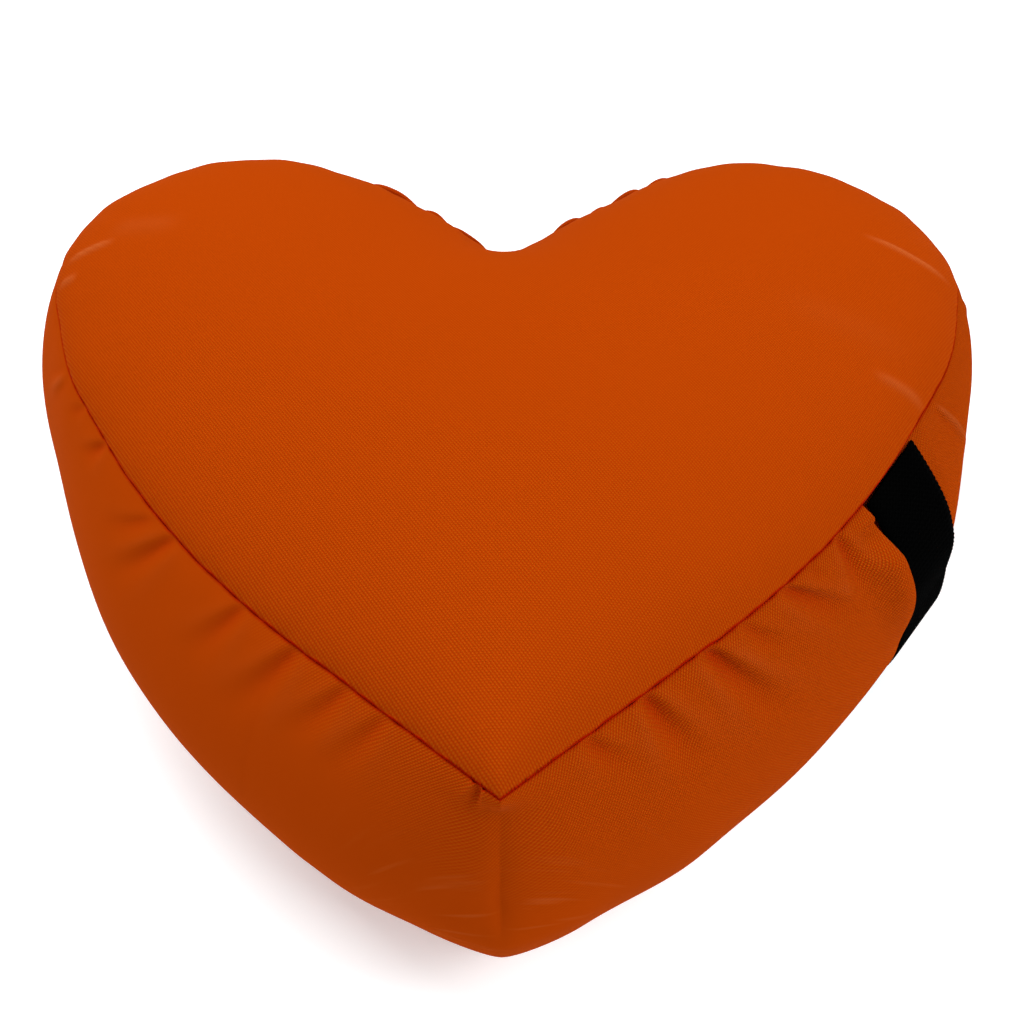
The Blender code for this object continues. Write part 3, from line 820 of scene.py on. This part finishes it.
def band_profile(level):
    """Share of the bulge, and height: level 0 is the top seam, 1 the widest, 2 the bottom seam."""
    quarter = level * math.pi / 2
    if level < 1:
        return math.sin(quarter) ** BAND_FULLNESS, SEAM_HEIGHT - (SEAM_HEIGHT - BULGE_HEIGHT) * level
    height = BULGE_HEIGHT + (BULGE_HEIGHT - BASE_SEAM_HEIGHT) * math.cos(quarter)
    return math.sin(quarter), height


def on_right_seam(values):
    """A ring's values where the middle of the handle crosses the right half of the seam."""
    half = values[:SIDE_POINTS + 1]
    return np.array([np.interp(STRAP_PLACE, RIGHT_ALONG, column) for column in half.T])


REACH = band_reach()
REACH_LENGTH = np.linalg.norm(REACH, axis=1)
ROUNDED = (soften(SEAM, WALL_SOFTNESS) - SEAM) * (SEAM[:, 1] < TIP_Y + WALL_DEPTH)[:, None]
GATHERED = swells(BACK_GATHERS, FROM_NOTCH, 1)
UNEVEN = waves(BAND_WAVES, BAND_LOBE_WAVES) + swells(BAND_SWELLS, ALONG, 2)

# The band's profile under the handle, and the unit vectors square to it, level by level.
LEVELS = np.linspace(0.0, 1.0, PROFILE_STEPS + 1) ** 2
STRAP_REACH = float(np.linalg.norm(on_right_seam(REACH)))
PROFILE = np.array([band_profile(level) for level in LEVELS]) * (STRAP_REACH, 1.0)
FACING = left_of(PROFILE)

# Place across the handle in its half widths, and distances past its two edges.
NOT_BESIDE = -9.0
BESIDE = np.where(SIDE == FLANKS[0].side, (ALONG - STRAP_PLACE) / (STRAP_WIDTH / 2), NOT_BESIDE)
NEAR_SIDE = (-BESIDE - 1) * STRAP_WIDTH / 2
FAR_SIDE = (BESIDE - 1) * STRAP_WIDTH / 2


def strap_dent():
    """How deep the handle presses the band round the ring."""
    edge = smooth_step(1 - NEAR_SIDE / NEAR_SHOULDER) * smooth_step(1 - FAR_SIDE / FAR_SHOULDER)
    return edge * (STRAP_PRESS - STRAP_TWIST * np.clip(BESIDE, -1, 1))


DENT = strap_dent()


def puff(below):
    """Height of the soft puffs beside the handle, this far below the top seam."""
    across = np.exp(-(np.maximum(NEAR_SIDE - PUFF_BREADTH, 0.0) / PUFF_FADE) ** 2)
    large = smooth_step((below - PUFF_TOP) / PUFF_SWELL) * smooth_step((PUFF_END - below) / PUFF_EBB)
    small = smooth_step(1 - abs(below - PUFF_TOP / 2) / (PUFF_TOP / 2))
    height = PUFF_HEIGHT * large + NOOK_PUFF * small
    return height * across * smooth_step(NEAR_SIDE / PUFF_START)


def fold_depth(below):
    """Depth of the band's folds round the ring, this far below the top seam."""
    depth = np.zeros(RING_SIZE)
    for fold in BAND_FOLDS:
        down = below - fold.start
        if down < 0 or down > fold.length:
            continue
        part = down / fold.length
        width = fold.width * (FOLD_MOUTH + FOLD_SPREAD * part)
        across = (ALONG - fold.along - fold.lean * down) / width
        lips = FOLD_LIP * np.exp(-(np.abs(across) - LIP_PLACE) ** 2)
        valley = np.exp(-across ** 2) - lips
        strength = smooth_step(FOLD_SHALLOWS + down / FOLD_OPENING) * smooth_step((1 - part) / FOLD_EBB)
        depth += np.where(SIDE == fold.side, fold.depth * strength * valley, 0.0)
    return depth


def band_row(level):
    """One level of the band: its points with their heights."""
    share, height = band_profile(level)
    below = SEAM_HEIGHT - height
    facing = np.array([np.interp(level, LEVELS, column) for column in FACING.T])
    depth = np.minimum(fold_depth(below), DEEPEST_FOLD * share * REACH_LENGTH)
    uneven = UNEVEN * math.sin(math.pi * level / 2) + puff(below)
    sewn = SEWN_SHIFT * smooth_step(1 - level / EASES_END)
    rounding = smooth_step(level / ROUNDING_START) * smooth_step((1.0 - level) / ROUNDING_FADE)
    edge = SEAM + OUT * (EDGE_GAP / CORNER + sewn)[:, None] + ROUNDED * rounding
    inwards = depth - uneven + DENT * facing[0]
    points = edge + REACH * share - OUT * inwards[:, None]
    seam_shift = SEWN_RISE * smooth_step(1 - level / HEIGHT_WAVES_END)
    roll = smooth_step(level / ROLL_START) * math.exp(-(max(level - ROLL_HOLD, 0.0) / ROLL_FADE) ** 2)
    return ring_at(points, height + seam_shift - DENT * facing[1] + GATHERED * roll)


def band_levels():
    """Levels of the band's rows, closer together beside the two seams."""
    even = np.linspace(0.0, 1.0, BAND_ROWS)
    eased = LEVELS_EASED * smooth_step(even) + (1 - LEVELS_EASED) * even
    return np.concatenate([SEAM_LEVELS, FIRST_LEVEL + (LAST_LEVEL - FIRST_LEVEL) * eased])


# ---- painted shade and highlights of the cloth ----
def band_shade(level):
    """Painted shade of the band round one level, at its seam, folds and gathers. Below 0 it is a
    painted highlight.
    """
    below = SEAM_HEIGHT - band_profile(level)[1]
    folds = fold_depth(below)
    seam_line = SEAM_SHADE * math.exp(-(below / SEAM_LINE) ** 2)
    tucked = TUCK_SHADE * np.maximum(folds, 0) * math.exp(-below / TUCK_SHADE_DEPTH)
    gathered = GATHER_SHADE * GATHERED * smooth_step(1 - level / GATHER_SHADE_END)
    painted_highlight = RIDGE_LIGHT * np.maximum(-folds, 0) + CREST_LIGHT * np.maximum(-folds - CREST_START, 0)
    return np.clip(seam_line + tucked + gathered - painted_highlight, *SHADE_LIMITS)


def panel_shade(share):
    """The same round one ring of the top panel: painted shade at its seam, less the painted highlights
    of its ridges.
    """
    from_rim = (1 - share) * np.linalg.norm(SEAM - HEART_MIDDLE, axis=1)
    seam_line = SEAM_SHADE * np.exp(-(from_rim / SEAM_LINE) ** 2)
    return seam_line - ridge_shapes(inner_ring(share))[1]


def even_shade(shade, rows):
    """One shade for this many whole rows."""
    return [np.full(RING_SIZE, shade)] * rows


# ---- pieces laid as grids of rows ----
def finish(name, mesh_data, material):
    """Turn a bmesh into an object of the scene."""
    mesh = bpy.data.meshes.new(name)
    mesh_data.to_mesh(mesh)
    mesh_data.free()
    mesh.materials.append(material)
    mesh.shade_smooth()
    piece = bpy.data.objects.new(name, mesh)
    bpy.context.scene.collection.objects.link(piece)
    return piece


def lay_rows(name, rows, cloth, painted_shade_and_light, material):
    """A closed piece: a grid laid on rows of points round it, from pole to pole.

    cloth holds each point's place on the flat cloth, and the fourth argument the painted shade at each
    point, a painted highlight below 0.
    """
    count, around = rows.shape[0], rows.shape[1]
    shell = bmesh.new()
    bmesh.ops.create_grid(shell, x_segments=around, y_segments=count - 1, size=0.5)
    lie = shell.loops.layers.uv.new("cloth")
    dark = shell.verts.layers.float.new("painted_shade_and_light")
    spots = {}
    for vert in shell.verts:
        column = round((vert.co.x + 0.5) * around)
        row = round((vert.co.y + 0.5) * (count - 1))
        spots[vert] = (row, column)
    for vert, (row, column) in spots.items():
        vert.co = rows[row, column % around]
        vert[dark] = painted_shade_and_light[row, column % around]
    for face in shell.faces:
        for loop in face.loops:
            row, column = spots[loop.vert]
            loop[lie].uv = cloth[row, column]
    bmesh.ops.remove_doubles(shell, verts=shell.verts, dist=MERGE_DISTANCE)
    bmesh.ops.recalc_face_normals(shell, faces=shell.faces)
    return finish(name, shell, material)


def ring_at(points, heights):
    """Plan points with their heights, as rows of x, y and z."""
    return np.column_stack([points, np.broadcast_to(heights, len(points))])


def pole(height):
    """A whole row at the middle of the heart."""
    return ring_at(np.repeat(HEART_MIDDLE[None], RING_SIZE, axis=0), height)


def closed_columns(values):
    """Rows of values with the first column repeated at the end."""
    return np.concatenate([values, values[:, :1]], axis=1)


def panel_cloth(rows):
    """A panel's map: its cloth lies as its plan does."""
    return closed_columns(rows[:, :, :2]) + CLOTH_SHIFT


def make_top_panel(material):
    """The crowned canvas heart, as thick as the cloth and its turned edge."""
    middle = SEAM_HEIGHT + crown_heights(HEART_MIDDLE[None])[0]
    hidden = [pole(middle - CLOTH)] + lowered_panel(CLOTH) + [ring_at(SEWN, SEWN_HEIGHT - CLOTH)]
    face = [panel_row(share) for share in TOP_SHARES]
    rows = np.array(hidden + face + [pole(middle)])
    shades = [panel_shade(share) for share in TOP_SHARES]
    shades = np.array(even_shade(SEAM_SHADE, len(hidden)) + shades + even_shade(0.0, 1))
    piece = lay_rows("canvas_top", rows, panel_cloth(rows), shades, material)
    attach(piece, "root")
    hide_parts("top_panel")
    return piece


def make_bottom_panel(material):
    """The canvas heart that the cushion lies on."""
    lower = [ring_at(inner_ring(share), base_height(share)) for share in BASE_SHARES]
    upper = [ring_at(inner_ring(share), base_height(share) + CLOTH) for share in BASE_SHARES[::-1]]
    rows = np.array([pole(CLOTH)] + upper + lower + [pole(0.0)])
    shades = np.zeros(rows.shape[:2])
    piece = lay_rows("canvas_base", rows, panel_cloth(rows), shades, material)
    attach(piece, "root")
    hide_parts("bottom_panel")
    return piece


def band_cloth(rows, first):
    """The band's map: round the ring by whole repeats of the weave, and down from its first row."""
    steps = np.linalg.norm(np.diff(rows, axis=0), axis=2).mean(axis=1)
    down = np.concatenate([[0.0], np.cumsum(steps)])
    down -= down[first]
    around = np.concatenate([RIGHT_ALONG, SEAM_LENGTH - LEFT_ALONG[::-1][1:]])
    around *= round(SEAM_LENGTH / THREAD_ACROSS) * THREAD_ACROSS / SEAM_LENGTH
    return np.stack(np.broadcast_arrays(around[None, :], down[:, None]), axis=2)


def make_band(material):
    """The side band with the filling that it holds, tucked in at its top seam."""
    levels = band_levels()
    drop = CLOTH + SEAT_GAP
    middle = SEAM_HEIGHT - drop + crown_heights(HEART_MIDDLE[None])[0]
    hidden = [pole(middle)] + lowered_panel(drop) + [ring_at(TURNED_EDGE, SEWN_HEIGHT - drop)]
    side = [band_row(level) for level in levels]
    foot = [ring_at(FOOT, BASE_SEAM_HEIGHT - CLOTH), ring_at(FOOT, BASE_SEAM_HEIGHT + SEAT_GAP)]
    base = [ring_at(inner_ring(share), base_height(share) + drop) for share in BASE_SHARES[1:]]
    underside = foot + base + [pole(drop)]
    rows = np.array(hidden + side + underside)
    shades = even_shade(1.0, len(hidden)) + [band_shade(level) for level in levels]
    shades = np.array(shades + even_shade(0.0, len(underside)))
    piece = lay_rows("canvas_band", rows, band_cloth(rows, len(hidden)), shades, material)
    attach(piece, "root")
    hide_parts("cushion_body")
    return piece


# ---- the handle ----
def strap_route():
    """Middle of the handle's inner face, top to bottom, as offsets from the seam and heights."""
    lying = PROFILE + (EDGE_GAP, 0.0) + FACING * (STRAP_SEAT - STRAP_PRESS)
    heading = -math.pi / 2 - math.radians(STRAP_LEAN)
    hanging, heading = walk(lying[-1], heading, STRAP_HANG, 0.0)
    turn = math.pi / 2 + math.radians(STRAP_RISE - STRAP_LEAN)
    bend, heading = walk(hanging[-1], heading, STRAP_BEND * turn, -turn)
    back, heading = walk(bend[-1], heading, STRAP_RETURN, 0.0)
    route = np.concatenate([lying, hanging, bend, back])
    return points_at(route, np.linspace(0.0, length_along(route)[-1], STRAP_ROWS + 1))


def strap_lift(along):
    """How far the handle stands off its route, this far along it."""
    high = smooth_step(along / LIFT_LENGTH) * smooth_step((LIFT_EASE_END - along) / LIFT_EASE)
    return STRAP_LIFT * np.maximum(high, smooth_step((along - SECOND_LIFT) / SECOND_LIFT_LENGTH))


def strap_shape():
    """The handle's ribbed, toothed rows of points, their places on flat webbing, and lengths."""
    route = strap_route()
    square = left_of(route)
    along = length_along(route)[:, None]
    across = np.linspace(-1.0, 1.0, STRAP_SECTION)
    side = np.concatenate([across, across[::-1]])[None]
    outer = np.repeat([0.0, 1.0], STRAP_SECTION)[None]
    tooth = (along / RIB_PITCH) % 1.0
    rib = RIB_DEPTH * np.abs(np.sin(math.pi * tooth))
    half = STRAP_WIDTH / 2 - TOOTH_DEPTH * (1 - tooth)
    edge = smooth_step((np.abs(side) - EDGE_START) / (1 - EDGE_START))
    lost = EDGE_ROUNDING * STRAP_THICKNESS * edge + RIB_DEPTH - rib
    thick = outer * STRAP_THICKNESS - (2 * outer - 1) * lost
    twist = STRAP_TWIST * side * smooth_step(along / TWIST_LENGTH)
    offset = np.maximum(route[:, :1] + square[:, :1] * thick + twist + strap_lift(along), STRAP_START)
    height = route[:, 1:] + square[:, 1:] * thick
    out = on_right_seam(OUT)
    out /= np.linalg.norm(out)
    sideways = np.array([-out[1], out[0]])
    plan = on_right_seam(SEAM) + offset[..., None] * out + (side * half)[..., None] * sideways
    cloth = np.stack(np.broadcast_arrays(side * STRAP_WIDTH / 2, along), axis=2)
    return np.concatenate([plan, height[..., None]], axis=2), closed_columns(cloth), along[:, 0]


def make_handle(material):
    """The webbing handle: a flat ribbed strap on the right flank, sewn into both seams."""
    rows, cloth, along = strap_shape()
    start, end = (np.repeat(rows[row].mean(axis=0)[None], rows.shape[1], axis=0) for row in (0, -1))
    rows = np.concatenate([start[None], rows, end[None]])
    cloth = np.concatenate([cloth[:1], cloth, cloth[-1:]])
    piece = lay_rows("webbing_handle", rows, cloth, np.zeros(rows.shape[:2]), material)
    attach(piece, "root")
    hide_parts("handle_strap")
    return piece


add_camera()
add_room()
PANEL_CANVAS = canvas_material("orange_canvas", PANEL_WEAVE)
make_band(canvas_material("orange_band_canvas", BAND_WEAVE))
make_top_panel(PANEL_CANVAS)
make_bottom_panel(PANEL_CANVAS)
make_handle(webbing_material())
